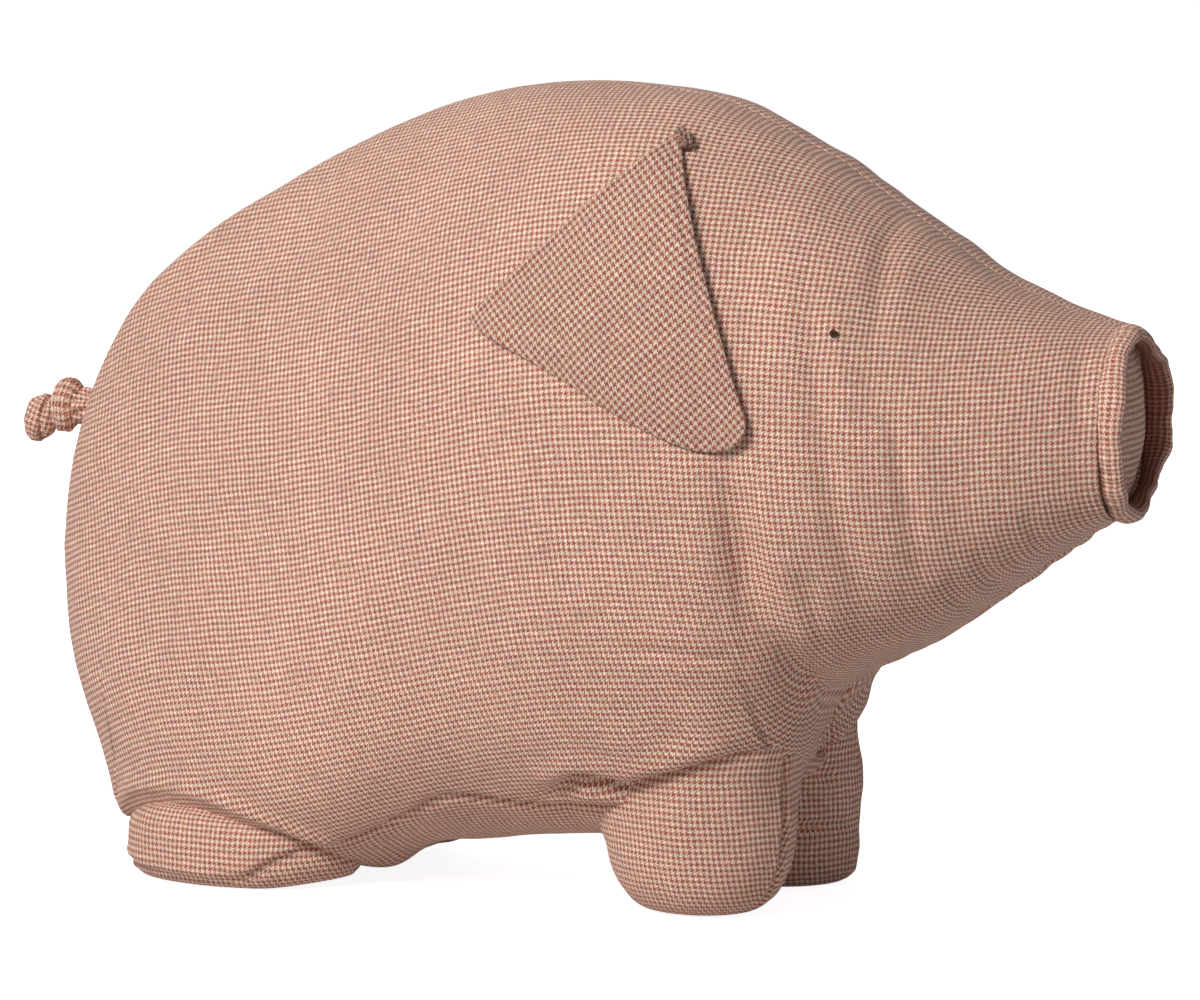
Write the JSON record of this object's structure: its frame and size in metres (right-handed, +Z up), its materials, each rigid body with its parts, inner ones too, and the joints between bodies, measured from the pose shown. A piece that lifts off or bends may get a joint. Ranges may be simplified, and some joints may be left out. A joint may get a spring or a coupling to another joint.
{
  "type": "plush pig",
  "caption": "Stuffed cloth pig on stub legs, with loose flat ears, a snout with a rolled seam and a knotted cloth tail.",
  "frame": {"origin": "on the floor, under the middle of the whole pig", "axes": "+X points to the snout, +Y to the left side of the pig, +Z up"},
  "size_m": [0.4136, 0.1764, 0.2739],
  "materials": {
    "side_cloth": "small woven check of terracotta pink and cream, matte",
    "gusset_cloth": "the same woven check",
    "leg_cloth": "the same woven check",
    "nose_cloth": "the same woven check",
    "rim_cloth": "the same woven check, rolled",
    "ear_cloth": "the same woven check, cut on the slant",
    "ear_lining_cloth": "the same woven check",
    "tail_cloth": "the same woven check, gathered",
    "stuffing": "loose white fibre",
    "eye_thread": "dark brown cotton thread"
  },
  "bodies": {
    "trunk": {"right_side_panel": "side_cloth", "left_side_panel": "side_cloth", "belly_gusset": "gusset_cloth", "body_fill": "stuffing", "head_fill": "stuffing", "nose_disc": "nose_cloth", "snout_rim": "rim_cloth", "right_front_leg_cover": "leg_cloth", "right_front_leg_fill": "stuffing", "left_front_leg_cover": "leg_cloth", "left_front_leg_fill": "stuffing", "right_hind_leg_cover": "leg_cloth", "right_hind_leg_fill": "stuffing", "left_hind_leg_cover": "leg_cloth", "left_hind_leg_fill": "stuffing", "right_ear_root": "ear_lining_cloth", "left_ear_root": "ear_lining_cloth", "right_eye": "eye_thread", "left_eye": "eye_thread"},
    "right_ear": {"right_ear_outer": "ear_cloth", "right_ear_lining": "ear_lining_cloth"},
    "left_ear": {"left_ear_outer": "ear_cloth", "left_ear_lining": "ear_lining_cloth"},
    "tail_root": {"tail_stub": "tail_cloth"},
    "tail_end": {"tail_knot": "tail_cloth"}
  },
  "joints": [
    {"name": "right_ear_lift", "type": "hinge", "parent": "trunk", "child": "right_ear", "pos_m": [0.05733, -0.03653, 0.26243], "axis": [-1, 0, 0], "range_deg": [0, 130]},
    {"name": "left_ear_lift", "type": "hinge", "parent": "trunk", "child": "left_ear", "pos_m": [0.05733, 0.03655, 0.26246], "axis": [1, 0, 0], "range_deg": [0, 130]},
    {"name": "tail_swing", "type": "hinge", "parent": "trunk", "child": "tail_root", "pos_m": [-0.18708, 0, 0.15675], "axis": [0, 0, 1], "range_deg": [-20, 20], "stiffness_Nm_per_rad": 0.02},
    {"name": "tail_lift", "type": "hinge", "parent": "tail_root", "child": "tail_end", "pos_m": [-0.18908, 0, 0.15675], "axis": [0, 1, 0], "range_deg": [-20, 20], "stiffness_Nm_per_rad": 0.02}
  ]
}
